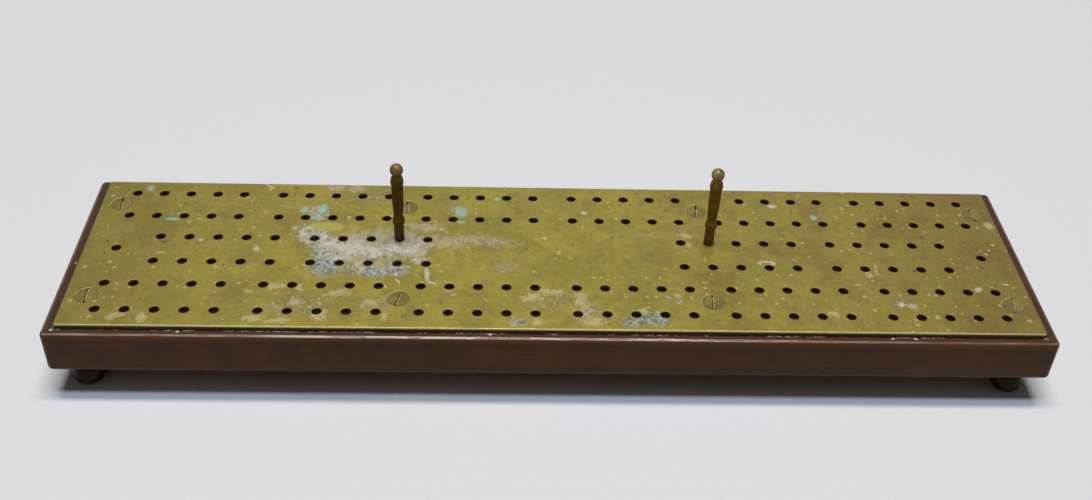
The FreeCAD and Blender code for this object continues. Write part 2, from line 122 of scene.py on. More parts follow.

# How strongly each layer shows on the long rails and on the cross ones: worn polish, the painted highlight,
# and the reddish and dark bands under the arris; and the border's colour.
LONG_WEAR_AND_HIGHLIGHT = {"worn": 0.8, "painted_highlight": 1.0, "upper": 0.5, "under": 0.2, "border": (80, 58, 46)}
CROSS_WEAR_AND_HIGHLIGHT = {"worn": 0.4, "painted_highlight": 0.25, "upper": 0.2, "under": 0.1, "border": (64, 43, 35)}

# The view, from the middle of the hole pattern, with its angles in degrees.
CAMERA_PLACE = (-20.33, -345.68, 278.61)
CAMERA_TURN, CAMERA_TILT, CAMERA_ROLL = -2.883, 51.293, 2.527
CAMERA_LENS = 42.54
CAMERA_SENSOR = 36.0
CAMERA_CLIP_M = 0.01

# The room. Each lamp has a name, a place, a width and a depth in metres, a power in watts and a colour.
LAMPS = (
    ("cool_tube", (0.0, -0.48, 2.6), 1.3, 0.36, 27.0, (0.68, 0.79, 1.0)),
    ("warm_tube", (0.0, 0.11, 2.6), 1.3, 0.23, 36.5, (1.0, 0.92, 0.78)),
    ("ceiling", (0.0, -1.3, 2.6), 3.0, 1.6, 4.0, (1.0, 1.0, 1.0)),
    ("back_wall", (0.0, 1.9, 1.5), 2.4, 1.0, 0.5, (1.0, 1.0, 1.0)),
)
WORLD_GLOW = (0.02, 0.02, 0.021, 1.0)
BACKGROUND = (0.69, 0.695, 0.71, 1.0)
FLOOR_HALF_M = 4.0

# The floor fades into the background between these distances from the middle of the model, in millimetres.
FLOOR_FADE = (450.0, 950.0)


def in_mm(vector):
    return vector / MM


plate_low, plate_high = (in_mm(corner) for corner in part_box("brass_plate"))
front_low, front_high = (in_mm(corner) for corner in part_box("front_rail"))
back_high = in_mm(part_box("back_rail")[1])
plate_middle = (plate_low + plate_high) / 2
plate_half = (plate_high - plate_low) / 2
case_middle_x = (front_low.x + front_high.x) / 2
case_half_x = (front_high.x - front_low.x) / 2
case_half_y = (back_high.y - front_low.y) / 2
case_top = front_high.z

# the hole pattern is in the middle of the case lengthwise, and a little behind its middle
pattern_middle = Vector((case_middle_x, PATTERN_SHIFT_Y, plate_high.z))


# ---- camera, light and floor ----

def make_camera():
    """The photograph's view, placed from the middle of the hole pattern, in plain Standard colours."""
    data = bpy.data.cameras.new("camera")
    data.sensor_width = CAMERA_SENSOR
    data.lens = CAMERA_LENS
    data.clip_start = CAMERA_CLIP_M
    camera = bpy.data.objects.new("camera", data)
    turn, tilt, roll = (math.radians(angle) for angle in (CAMERA_TURN, CAMERA_TILT, CAMERA_ROLL))
    aim = Matrix.Rotation(turn, 4, "Z") @ Matrix.Rotation(tilt, 4, "X") @ Matrix.Rotation(roll, 4, "Z")
    place = pattern_middle + Vector(CAMERA_PLACE)
    camera.matrix_world = Matrix.Translation(place * MM) @ aim
    scene = bpy.context.scene
    scene.collection.objects.link(camera)
    scene.camera = camera
    scene.view_settings.view_transform = "Standard"


def soft_light(name, place, width, depth, power, colour):
    """A rectangular soft light that faces the middle of the board."""
    data = bpy.data.lights.new(name, "AREA")
    data.shape = "RECTANGLE"
    data.size = width
    data.size_y = depth
    data.energy = power
    data.color = colour
    light = bpy.data.objects.new(name, data)
    place = Vector(place)
    light.location = place
    light.rotation_mode = "QUATERNION"
    light.rotation_quaternion = (-place).to_track_quat("-Z", "Y")
    bpy.context.scene.collection.objects.link(light)


def make_lights():
    """A cool tube a little to the front, a warm one overhead, and the glow of the ceiling and back wall."""
    for lamp in LAMPS:
        soft_light(*lamp)


def looked_at(tree):
    """1 for a ray from the camera, off a glossy surface or through a clear one."""
    path = tree.nodes.new("ShaderNodeLightPath")
    found = path.outputs["Is Camera Ray"]
    for ray in ("Is Glossy Ray", "Is Transmission Ray"):
        either = tree.nodes.new("ShaderNodeMath")
        either.operation = "MAXIMUM"
        tree.links.new(found, either.inputs[0])
        tree.links.new(path.outputs[ray], either.inputs[1])
        found = either.outputs[0]
    return found


def make_world():
    """Dim all round, and pale where the camera, a reflection or a clear surface looks past the floor."""
    world = bpy.data.worlds.new("room")
    bpy.context.scene.world = world
    world.use_nodes = True
    tree = world.node_tree
    tree.nodes.clear()
    output = tree.nodes.new("ShaderNodeOutputWorld")
    mix = tree.nodes.new("ShaderNodeMixShader")
    dim, pale = (tree.nodes.new("ShaderNodeBackground") for _ in range(2))
    dim.inputs["Color"].default_value = WORLD_GLOW
    pale.inputs["Color"].default_value = BACKGROUND
    tree.links.new(looked_at(tree), mix.inputs[0])
    tree.links.new(dim.outputs[0], mix.inputs[1])
    tree.links.new(pale.outputs[0], mix.inputs[2])
    tree.links.new(mix.outputs[0], output.inputs["Surface"])


def make_floor(material):
    """A level square under the feet. It rides on no body, so it isn't part of the model."""
    half = FLOOR_HALF_M
    mesh = bpy.data.meshes.new("floor")
    corners = [(-half, -half, 0), (half, -half, 0), (half, half, 0), (-half, half, 0)]
    mesh.from_pydata(corners, [], [(0, 1, 2, 3)])
    mesh.materials.append(material)
    floor = bpy.data.objects.new("floor", mesh)
    bpy.context.scene.collection.objects.link(floor)


# ---- material tools ----

def tint(red, green, blue):
    """A colour given as it looks on the screen, 0 to 255, in linear values."""
    def linear(level):
        share = level / 255
        return share / 12.92 if share <= 0.04045 else ((share + 0.055) / 1.055) ** 2.4
    return (linear(red), linear(green), linear(blue), 1.0)


class Finish:
    """One material's nodes. Places are in millimetres of the model's own frame."""

    FAR = 9.0  # farther than any mark shows, in the marks' own sizes

    def __init__(self, name):
        self.material = bpy.data.materials.new(name)
        self.material.use_nodes = True
        self.tree = self.material.node_tree
        self.shader = self.tree.nodes["Principled BSDF"]
        coordinates = self.tree.nodes.new("ShaderNodeTexCoord")
        self.place = self.scaled(coordinates.outputs["Object"], (1 / MM, 1 / MM, 1 / MM))

    def give(self, socket, value):
        """Links another node's output to the socket, or sets the socket to a plain value."""
        if isinstance(value, bpy.types.NodeSocket):
            self.tree.links.new(value, socket)
        else:
            socket.default_value = value

    def vector_math(self, operation, *values):
        node = self.tree.nodes.new("ShaderNodeVectorMath")
        node.operation = operation
        for socket, value in zip(node.inputs, values):
            self.give(socket, value)
        return node

    def scaled(self, vector, factors):
        return self.vector_math("MULTIPLY", vector, factors).outputs[0]

    def moved(self, vector, shift):
        return self.vector_math("ADD", vector, shift).outputs[0]

    def axes(self, vector):
        node = self.tree.nodes.new("ShaderNodeSeparateXYZ")
        self.give(node.inputs[0], vector)
        return node.outputs

    def joined(self, x, y, z=0.0):
        node = self.tree.nodes.new("ShaderNodeCombineXYZ")
        for socket, value in zip(node.inputs, (x, y, z)):
            self.give(socket, value)
        return node.outputs[0]

    def math(self, operation, *values):
        node = self.tree.nodes.new("ShaderNodeMath")
        node.operation = operation
        for socket, value in zip(node.inputs, values):
            self.give(socket, value)
        return node.outputs[0]

    def times(self, *values):
        product = values[0]
        for value in values[1:]:
            product = self.math("MULTIPLY", product, value)
        return product

    def most(self, *values):
        largest = values[0]
        for value in values[1:]:
            largest = self.math("MAXIMUM", largest, value)
        return largest

    def beyond(self, value, middle, half):
        """How far a place is outside a span, negative inside it."""
        distance = self.math("ABSOLUTE", self.math("SUBTRACT", value, middle))
        return self.math("SUBTRACT", distance, half)

    def layer(self, name):
        """A value that the mesh has at each of its points."""
        node = self.tree.nodes.new("ShaderNodeAttribute")
        node.attribute_name = name
        return node.outputs["Fac"]

    def noise_node(self, place, scale, detail, roughness, distortion):
        node = self.tree.nodes.new("ShaderNodeTexNoise")
        self.give(node.inputs["Vector"], place)
        node.inputs["Scale"].default_value = scale
        node.inputs["Detail"].default_value = detail
        node.inputs["Roughness"].default_value = roughness
        node.inputs["Distortion"].default_value = distortion
        return node

    def noise(self, place, scale, detail=2.0, roughness=0.5, distortion=0.0):
        """Cloudy values round 0.5. Scale is in waves per unit of place."""
        return self.noise_node(place, scale, detail, roughness, distortion).outputs[0]

    def stirred(self, place, scale, reach):
        """The place, shifted up to about half the reach by a cloudy noise."""
        cloud = self.noise_node(place, scale, 3.0, 0.6, 0.0)
        centred = self.moved(cloud.outputs["Color"], (-0.5, -0.5, -0.5))
        return self.moved(place, self.scaled(centred, (reach, reach, reach)))

    def ramp(self, value, low, high, to_low=0.0, to_high=1.0):
        """A smooth step: to_low at low and to_high at high, level beyond them."""
        node = self.tree.nodes.new("ShaderNodeMapRange")
        node.interpolation_type = "SMOOTHSTEP"
        self.give(node.inputs["Value"], value)
        node.inputs["From Min"].default_value = low
        node.inputs["From Max"].default_value = high
        node.inputs["To Min"].default_value = to_low
        node.inputs["To Max"].default_value = to_high
        return node.outputs[0]

    def mix(self, share, first, second):
        node = self.tree.nodes.new("ShaderNodeMix")
        node.data_type = "RGBA"
        self.give(node.inputs[0], share)
        self.give(node.inputs[6], first)
        self.give(node.inputs[7], second)
        return node.outputs[2]

    def lay(self, base, share, strength, colour):
        """The base with a colour laid over it, at the strength where the share is 1."""
        return self.mix(self.math("MULTIPLY", share, strength), base, colour)

    def specks(self, place, scale, size, share):
        """Small dots, one in each cell that chance picks. Size is in cells, share is how many have a dot."""
        node = self.tree.nodes.new("ShaderNodeTexVoronoi")
        node.voronoi_dimensions = "2D"
        self.give(node.inputs["Vector"], place)
        node.inputs["Scale"].default_value = scale
        chance = self.axes(node.outputs["Color"])
        picked = self.math("LESS_THAN", chance[0], share)
        reach = self.math("MULTIPLY", chance[1], size)
        depth = self.math("SUBTRACT", reach, node.outputs["Distance"])
        return self.math("MULTIPLY", self.ramp(depth, 0.0, size * 0.3), picked)

    def nearness(self, place, marks):
        """0 at the middle of the nearest mark and 1 at its edge.

        The nearest so far rides along as z, made too small to count, so the marks are worked out one by one.
        """
        across, along, _ = self.axes(place)
        nearest = self.FAR
        small = 0.001
        for x, y, half_length, half_width, *turn in marks:
            spot = self.joined(across, along, nearest)
            if turn:
                node = self.tree.nodes.new("ShaderNodeMapping")
                node.vector_type = "TEXTURE"
                self.give(node.inputs["Vector"], spot)
                node.inputs["Location"].default_value = (x, y, 0.0)
                node.inputs["Rotation"].default_value = (0.0, 0.0, math.radians(*turn))
                node.inputs["Scale"].default_value = (half_length, half_width, 1 / small)
                reach = node.outputs[0]
            else:
                factors = (1 / half_length, 1 / half_width, small)
                reach = self.vector_math("MULTIPLY_ADD", spot, factors,
                                         (-x / half_length, -y / half_width, 0.0)).outputs[0]
            length = self.vector_math("LENGTH", reach).outputs["Value"]
            nearest = self.math("MINIMUM", length, nearest)
        return nearest

    def stain(self, place, marks, breakup, raggedness, softness=0.35, spread=1.0):
        """How far each mark covers its place, with an edge that the breakup makes ragged."""
        ragged = self.math("MULTIPLY", self.math("SUBTRACT", breakup, 0.5), raggedness)
        reach = self.math("MULTIPLY_ADD", self.nearness(place, marks), 1 / spread, ragged)
        return self.ramp(reach, 1.0, 1.0 - softness)

    def bump(self, height, distance, before=None):
        """Raises the surface by height times the distance in millimetres."""
        node = self.tree.nodes.new("ShaderNodeBump")
        node.inputs["Strength"].default_value = 1.0
        node.inputs["Distance"].default_value = distance * MM
        self.give(node.inputs["Height"], height)
        if before is not None:
            self.give(node.inputs["Normal"], before)
        return node.outputs[0]

    def set(self, **values):
        """Gives the shader its inputs, named with _ for each space. Returns the material."""
        for name, value in values.items():
            self.give(self.shader.inputs[name.replace("_", " ")], value)
        return self.material


# ---- brass plate ----

# Marks on the board, measured from the middle of the hole pattern:
# x, y, half length and half width in millimetres, and a turn in degrees where there is one.
# CHALK to WHITE are dried polish, verdigris and paint. CLEAN and RUBBED_CLEAN are where it is wiped off,
# DARK are stains, RINGS are rusty and RAIL_CRUMBS are polish on the wood beside the plate.
CHALK = (
    (-86.5, 9, 1.6, 2.0), (-85, 4.5, 2.2, 1.4, -30), (-80.5, 6.8, 4.0, 2.6, -40), (-77, 2.6, 5.2, 3.2, -25),
    (-70, 1.2, 6.4, 3.4, -8), (-62.5, -0.8, 6.0, 3.6, -12), (-56, 0.6, 5.4, 3.8), (-50, -0.6, 3.8, 3.4),
    (-46.5, -4.6, 2.6, 2.0), (-73, -4.2, 3.2, 1.6), (-90, 12.4, 1.4, 1.0, 20), (-85.4, 12.6, 1.2, 0.9),
)
CHALK_PINK = (
    (-68, 6, 5.4, 4.8), (-60, 6.5, 6.4, 5.4), (-52, 7.2, 6.4, 5.0), (-46, 5, 6.4, 3.6),
    (-45, 13.5, 6.0, 2.0, -10), (-37, 5.6, 7.4, 3.0), (-28.5, 7.2, 6.4, 2.2), (-20, 5.4, 6.8, 2.4, -8),
    (-78.5, 36.5, 3.4, 1.8), (-71.5, 36, 2.4, 2.0),
)
SPATTER = (
    (-70, 0, 21, 12.5, -4), (-50, 3, 13, 9), (-84, 9, 8, 9), (-62, -9, 17, 7), (-83, 21, 6, 7),
)
SPATTER_THIN = (
    (-66, 31, 20, 7), (-84, -29, 20, 10), (-60, -28, 12, 8), (-35, 24, 6, 7), (-24, 6, 18, 5),
    (-17, -8, 9, 7), (-2, -25, 14, 9), (12, -31, 12, 9), (30, -34, 11, 6), (46, 10, 5, 6), (115, -24, 8, 5),
)
HAZE = (
    (-16.7, -7.3, 5.8, 4.2), (33, 10.3, 12.5, 1.8), (-84, -14, 2.4, 3.0), (-95, -30, 3.0, 4.0),
    (6.5, -15, 1.9, 1.5), (45.5, 13.5, 1.8, 1.6), (-56, 26.5, 1.4, 4.0), (-66, 28.5, 2.4, 2.6),
)
TEAL = (
    (-144.8, 34.2, 1.4, 1.7), (-133.5, 16.4, 2.6, 0.9), (-88.2, 22.8, 1.6, 2.0), (-81.7, 23.6, 1.7, 2.8),
    (-82.9, 18.6, 1.2, 2.2), (-32.7, 22.7, 2.5, 3.3, 10), (-32.5, 16.8, 1.6, 0.7), (-19.9, 30.4, 1.1, 1.1),
    (94.2, 22.2, 1.4, 1.7), (-94.2, 24.5, 3.2, 0.24, -12), (-35, 32.8, 0.7, 0.6),
)
BLUE_GREY = (
    (-77.6, -9, 5.6, 5.6), (-79, -2, 3.4, 2.6, -30), (-60.5, -11.5, 5.6, 2.6), (-53, -10.3, 4.2, 3.0),
    (24.5, -35.3, 3.9, 2.6), (33.2, -33.8, 3.4, 3.8), (28, -34, 3.4, 3.2), (-12.6, -35.8, 2.9, 2.0),
    (37.6, -22.8, 1.0, 1.5), (40.8, -24.6, 1.2, 1.4),
)
BEIGE = (
    (-141.5, -34.8, 3.0, 1.6, 25), (-133.2, -35.2, 1.9, 2.0), (-92.2, -19.2, 3.6, 1.3, 6),
    (-85, -19.8, 1.9, 1.8), (-98, -35.2, 4.2, 1.7), (-90, -36, 4.2, 1.5), (-85, -27, 2.9, 1.9),
    (-77, -32.8, 2.8, 3.2), (-72, -22.7, 4.3, 2.1, 10), (-61, -27.3, 3.2, 1.7, 20), (-55.8, -33.6, 0.9, 2.1),
    (-9, -23.6, 3.7, 2.0, 15), (-3.5, -19.8, 2.3, 1.4), (0.6, -20.6, 3.7, 1.4, -8), (8.3, -24.6, 2.9, 3.5),
    (11.5, -35, 3.5, 2.1), (8, -30.5, 2.4, 2.6), (-6.5, -35.5, 1.8, 1.6), (28, -29.6, 1.8, 2.4),
    (125.5, -31, 1.0, 1.3), (90.8, -30.2, 2.6, 1.5, -10), (118.7, -25.8, 1.7, 1.9), (107.4, -9, 0.9, 3.3, 10),
    (110.5, -6.8, 0.5, 3.4), (157.2, 18.7, 1.7, 2.4), (46, 11, 2.3, 2.0), (47.4, 5.2, 1.2, 1.7),
)
CREAM = (
    (-142.2, 30.7, 0.5, 0.5), (-134.2, 30, 0.3, 0.6), (-133.7, -2.3, 2.3, 0.8), (-101.9, 7.4, 1.0, 0.8),
    (-104.6, 12.4, 0.9, 0.8), (-109, 11, 0.8, 0.7), (-101.6, 20.6, 0.6, 0.5), (-102.9, 18.3, 1.0, 0.4),
    (-124.3, 16.8, 1.6, 0.7), (-125.7, 10.5, 0.6, 0.5), (-114, -9.5, 1.6, 0.8, -45),
    (-122.1, -12.1, 0.5, 1.4, 20), (-103.3, -9.3, 0.7, 0.6), (-102.7, -16.4, 0.6, 0.5),
    (-101.3, -21.9, 2.2, 1.1, -25), (-101.5, -26.7, 0.7, 0.4), (-144.5, -18.9, 0.9, 0.6),
    (-144.3, -21.8, 0.4, 0.9, 25), (-114.9, -28.4, 0.4, 0.8, 25), (-91.3, 8.5, 0.9, 0.5),
    (-87.4, -9.7, 1.3, 0.6, 40), (-46.2, -13.4, 2.1, 0.4, -50), (-40, -7.5, 1.4, 0.8, 20),
    (-38.5, -10.5, 1.0, 0.8), (-40.4, -17.7, 0.9, 0.5), (-23.1, -25, 2.5, 0.26, -55),
    (-15.8, -23.6, 2.7, 0.28, -50), (-35.8, -20.7, 1.3, 0.7), (-29, -30.2, 0.9, 0.5),
    (-4, 8.2, 1.8, 0.36, -55), (-37.2, 10.5, 0.9, 0.8), (10.3, 14, 0.4, 2.7, -8), (1.5, 0, 1.0, 1.6),
    (-1.7, -30, 0.5, 1.2), (13, -13, 1.4, 0.8, -15), (18.3, -20.5, 0.4, 1.4), (40.5, -21.8, 1.6, 1.4),
    (50.5, -15, 1.4, 0.4, -20), (51.8, -2.5, 0.4, 1.9), (58.3, -8.8, 0.5, 0.5), (62.2, -9.8, 0.6, 0.5),
    (107.8, 29.9, 0.7, 0.7), (108.7, 24.4, 0.8, 0.8), (105.3, 25.3, 0.5, 0.5), (101.9, 23.4, 0.6, 0.6),
    (125.8, 27, 0.6, 0.7), (128.5, 28, 0.6, 0.7), (103.5, -21.4, 1.0, 1.0), (102.4, -15.1, 1.4, 0.6, -10),
    (105.3, -28, 0.9, 1.0), (83, -2.2, 1.0, 0.8), (103.7, 3.9, 0.8, 0.6), (100.5, 3.3, 1.0, 0.5),
    (88.5, -0.3, 0.5, 0.8), (106.5, 13.3, 0.6, 0.6), (146.2, -5.1, 0.5, 0.6), (134.2, -29.3, 0.6, 0.6),
    (156, -32.6, 1.2, 1.1), (150.5, -30.1, 1.1, 0.4),
)
WHITE = (
    (-102.4, 36.6, 2.6, 0.5, -38), (-101.4, 35.2, 1.9, 0.45, 62), (-121.5, 4.7, 1.1, 0.9),
    (-101.9, 0.2, 1.5, 1.6), (11.3, 23, 1.4, 1.2), (-43.2, -12.2, 1.0, 4.6, 4), (-41.5, -16.6, 2.4, 0.7, -10),
    (-52.6, -16.2, 2.3, 0.5, -65), (-56.6, -18.8, 1.8, 0.5, -60), (-53.6, -12.4, 0.8, 1.0),
    (-49.6, -8.6, 0.8, 0.7), (73.3, -3.4, 3.8, 0.6), (70.6, -4.4, 0.7, 1.0), (75.2, -4.5, 1.2, 1.0),
    (80.1, 28.5, 2.3, 1.4, 8), (143.3, -16.9, 1.9, 1.3, 40), (114.9, -25.1, 1.6, 1.5), (151.5, 2.3, 0.6, 0.9),
    (153.3, -14.1, 1.6, 0.6, -20), (-3.1, 8, 0.7, 1.2), (-72.2, 18.6, 0.8, 1.0),
)
CLEAN = ((-79, 13.2, 7.0, 3.0, -2),)
RUBBED_CLEAN = ((-58.8, -7.0, 2.2, 3.8, 20), (-67.4, -4.8, 2.0, 2.4, -10))
DARK = (
    (-120, 35.8, 0.8, 0.5), (-130.2, 25.2, 0.9, 1.0), (-122.6, 20.8, 0.6, 0.6), (-129, 12.2, 0.7, 0.5),
    (-106.7, 26.5, 0.5, 0.5), (-109, 24.8, 0.5, 0.5), (-104.9, 23.8, 0.6, 0.5), (-105.4, 21.8, 0.5, 0.4),
    (-152.6, 3.4, 0.9, 0.8), (-157.8, 11.4, 0.5, 0.7), (-133.5, 3.4, 1.4, 1.0), (-130.2, 1.6, 0.9, 0.6),
    (-92.8, 35.8, 1.2, 0.8), (20.5, 9, 1.0, 0.9), (20.4, 25.3, 0.5, 0.5), (28.3, 28.2, 0.4, 0.7),
    (133.3, 35.7, 0.7, 1.5), (117.4, 17, 1.1, 1.0), (123.7, -7.6, 1.1, 1.3), (147.8, -5.5, 1.1, 0.9),
    (-19, -2.3, 0.5, 0.5), (89.2, 23.9, 0.7, 0.8), (-128.5, -4.3, 0.5, 0.5), (-134.3, -10.2, 0.5, 0.4),
    (-146.5, -23.9, 0.5, 0.5), (-111.7, -8.6, 0.8, 0.6), (-105.4, -21.7, 0.5, 0.4), (-91.7, -10.6, 0.5, 0.5),
    (-110.4, 6.9, 0.9, 0.6), (85, -19.7, 0.35, 0.6), (-62, -6.5, 0.7, 0.7),
)
RINGS = ((135.5, 23.4, 1.7, 1.9), (87.8, 8.9, 1.5, 1.2))
RAIL_CRUMBS = (
    (-161.4, -6.2, 0.45, 0.5), (-160.6, -39.6, 0.7, 0.6), (-121, -39.9, 0.8, 0.5), (-21.7, -39.8, 0.9, 0.5),
    (109, -39.9, 0.8, 0.4), (116.5, -40, 0.9, 0.4),
)

# The polish left in each screw's slot, in the order of screw_places:
# the slot's turn in degrees, and where the polish starts and ends along it.
SLOT_POLISH = (
    (-15, -2.9, 3.1), (3, -3.2, 2.0), (-2, -3.1, 2.6), (-3, -3.3, 1.4),
    (2.5, -2.6, 3.0), (5, -3.3, 1.2), (-6.5, -2.8, 3.2), (4, -2.2, 3.0),
)


def peg_hole_places():
    """Centre of each peg hole, as x and y in the model's frame."""
    middle_group, middle_hole = (GROUPS_IN_ROW - 1) / 2, (HOLES_IN_GROUP - 1) / 2
    outer_x = [(group - middle_group) * GROUP_PITCH + (step - middle_hole) * HOLE_PITCH
               for group in range(GROUPS_IN_ROW) for step in range(HOLES_IN_GROUP)]
    middle_x = [MIDDLE_FIRST + pair * MIDDLE_PAIR_PITCH + group * MIDDLE_GROUP_PITCH + step * MIDDLE_PITCH
                for pair in range(2) for group in range(2) for step in range(HOLES_IN_GROUP)]
    places = [(side * END_HOLE, 0.0) for side in (-1, 1)]
    places += [(x, side * row) for row in OUTER_ROWS for side in (-1, 1) for x in outer_x]
    places += [(x, side * MIDDLE_ROW) for side in (-1, 1) for x in middle_x]
    return [(x + pattern_middle.x, y + pattern_middle.y) for x, y in places]


def screw_places():
    """Centre of each plate screw, as x and y in the model's frame."""
    return [(side * x + pattern_middle.x, end * SCREW_Y + pattern_middle.y)
            for x in SCREW_X for side in (-1, 1) for end in (-1, 1)]


def circle(x, y, radius, count):
    """That many points round a circle, as x and y."""
    angles = (2 * math.pi * step / count for step in range(count))
    return [(x + radius * math.cos(angle), y + radius * math.sin(angle)) for angle in angles]


def filed_edge(start, end, inward):
    """Points between two corners of the plate, with the slight waves of a hand-filed edge."""
    count = int((end - start).length / FILED_STEP)
    points = []
    for step in range(1, count):
        point = start.lerp(end, step / count)
        wave = noise.noise(Vector((point.x * FILED_WAVE, point.y * FILED_WAVE, 3.0)))
        point += inward * max(0.0, wave) * FILED_DEPTH
        points.append((point.x, point.y))
    return points


def plate_outline(inset):
    """The plate's edge with its round corners, moved in by the inset."""
    radius = max(PLATE_CORNER - inset, PLATE_CORNER_LEAST)
    low_x, high_x = plate_low.x + inset + radius, plate_high.x - inset - radius
    low_y, high_y = plate_low.y + inset + radius, plate_high.y - inset - radius
    corners = ((high_x, high_y), (low_x, high_y), (low_x, low_y), (high_x, low_y))
    inward_of_side = (Vector((0, -1)), Vector((1, 0)), Vector((0, 1)), Vector((-1, 0)))
    points = []
    for number, (x, y) in enumerate(corners):
        for step in range(CORNER_SIDES + 1):
            angle = math.radians(90 * (number + step / CORNER_SIDES))
            points.append((x + radius * math.cos(angle), y + radius * math.sin(angle)))
        inward = inward_of_side[number]
        side_end = Vector(corners[(number + 1) % 4]) - inward * radius
        points.extend(filed_edge(Vector(points[-1]), side_end, inward))
    return points


def add_ring(surface, points, height):
    """The points as new vertices, all at one height."""
    return [surface.verts.new((x * MM, y * MM, height * MM)) for x, y in points]


def join_rings(surface, first, second):
    """A band of faces between two rings that have the same number of vertices."""
    count = len(first)
    for step in range(count):
        after = (step + 1) % count
        surface.faces.new((first[step], first[after], second[after], second[step]))


def ring_edges(surface, ring):
    """The edges round a ring that has been joined to another."""
    return [surface.edges.get((ring[step - 1], ring[step])) for step in range(len(ring))]


def arris_steps(arris, grime_reach):
    """How far the rings round a wall are from it: where the grime ends, the rim, the bend and the wall."""
    return (grime_reach, arris, arris * ARRIS_BEND, 0.0)


def make_plate(material):
    """The drilled plate: eased edges, and two layers that say how dirty each rim is and where each screw
    seat's rim has a painted highlight.
    """
    surface = bmesh.new()
    grime = surface.verts.layers.float.new("grime")
    # the second layer marks the painted highlight on the screw seats' rims
    chalk = surface.verts.layers.float.new("seat_highlight")
    top, bottom = plate_high.z, plate_low.z
    top_edges, bottom_edges = [], []

    def sink(outlines, arris, dirt):
        """Rings from the level top, over the arris and down the wall. Returns the rim's."""
        heights = (top, top, top - arris * ARRIS_BEND, top - arris, bottom)
        rings = [add_ring(surface, points, height)
                 for points, height in zip(outlines + outlines[-1:], heights)]
        for ring in rings[1:]:
            for vertex in ring:
                vertex[grime] = dirt
        for first, second in zip(rings, rings[1:]):
            join_rings(surface, first, second)
        top_edges.extend(ring_edges(surface, rings[0]))
        bottom_edges.extend(ring_edges(surface, rings[-1]))
        return rings[1]

    edge_steps = arris_steps(PLATE_ARRIS, PLATE_ARRIS + GRIME_WIDTH)
    hole_steps = arris_steps(HOLE_ARRIS, HOLE_ARRIS + GRIME_WIDTH)
    seat_steps = arris_steps(SEAT_ARRIS, SEAT_GRIME_REACH)
    sink([plate_outline(step) for step in edge_steps], PLATE_ARRIS, EDGE_DIRT)
    for x, y in peg_hole_places():
        outlines = [circle(x, y, HOLE_RADIUS + step, HOLE_SIDES) for step in hole_steps]
        sink(outlines, HOLE_ARRIS, random.uniform(*HOLE_DIRT))
    for x, y in screw_places():
        outlines = [circle(x, y, SCREW_SEAT_RADIUS + step, SEAT_SIDES) for step in seat_steps]
        rim = sink(outlines, SEAT_ARRIS, EDGE_DIRT)
        highlight_from = random.uniform(*SEAT_HIGHLIGHT_START)
        # painted highlight: a pale arc on the back-left of each seat's rim
        for number, vertex in enumerate(rim):
            angle = 360 * number / SEAT_SIDES
            vertex[chalk] = 1.0 if highlight_from < angle < highlight_from + SEAT_HIGHLIGHT_ARC else 0.0
    bmesh.ops.triangle_fill(surface, use_beauty=True, edges=top_edges)
    bmesh.ops.triangle_fill(surface, use_beauty=True, edges=bottom_edges)
    bmesh.ops.recalc_face_normals(surface, faces=surface.faces)
    finish_piece(surface, "plate_top", material, "case", ("brass_plate",))


def finish_piece(surface, name, material, body, nodes=()):
    """Turns the mesh into a piece that rides on a body, and that replaces CAD nodes where any are given."""
    mesh = bpy.data.meshes.new(name)
    surface.to_mesh(mesh)
    surface.free()
    mesh.materials.append(material)
    mesh.shade_smooth()
    mesh.set_sharp_from_angle(angle=math.radians(SHARP_ANGLE))
    piece = bpy.data.objects.new(name, mesh)
    bpy.context.scene.collection.objects.link(piece)
    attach(piece, body)
    if nodes:
        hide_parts(*nodes)


def tarnish(brass, at, x, mottle):
    """The plate's own colour: olive, duller in patches, browner to the right, dark round its ends."""
    cloud = brass.noise(at, 0.045, 4.0, 0.6)
    patches = brass.noise(at, 0.11, 3.0, 0.6)
    base = brass.mix(brass.ramp(x, 10.0, 150.0), tint(161, 147, 56), tint(149, 125, 50))
    base = brass.lay(base, brass.ramp(cloud, 0.42, 0.62), 0.8, tint(141, 132, 48))
    base = brass.lay(base, brass.ramp(mottle, 0.42, 0.75), 0.5, tint(115, 102, 34))
    base = brass.lay(base, brass.ramp(patches, 0.5, 0.68), 0.5, tint(123, 109, 50))
    brown = brass.noise(brass.moved(at, (0.0, 90.0, 0.0)), 0.06, 4.0, 0.65)
    brown = brass.times(brass.ramp(brown, 0.48, 0.62), brass.ramp(x, -20.0, 80.0, 0.35, 1.0))
    base = brass.lay(base, brown, 0.5, tint(123, 94, 40))
    end = brass.ramp(brass.math("ABSOLUTE", x), 95.0, 158.0)
    return brass.lay(base, end, 0.38, tint(100, 84, 29))


def add_spatter(brass, base, spot, stirred):
    """Crowds of small splashes. Returns the colour, where they are and the noise that tells their tone."""
    crowd = brass.math("MAXIMUM", brass.ramp(brass.nearness(stirred, SPATTER), 1.0, 0.3),
                       brass.ramp(brass.nearness(stirred, SPATTER_THIN), 1.0, 0.2, 0.0, 0.45))
    splash = brass.noise(spot, 0.6, 6.0, 0.76, 0.8)
    spatter = brass.ramp(brass.math("MULTIPLY_ADD", crowd, 0.3, splash), 0.62, 0.7)
    tone = brass.noise(brass.moved(spot, (60.0, 0.0, 0.0)), 0.45, 5.0, 0.72, 1.0)
    spatter_tone = brass.mix(brass.ramp(tone, 0.42, 0.56), tint(122, 124, 108), tint(204, 192, 164))
    return brass.lay(base, spatter, 0.72, spatter_tone), spatter, tone


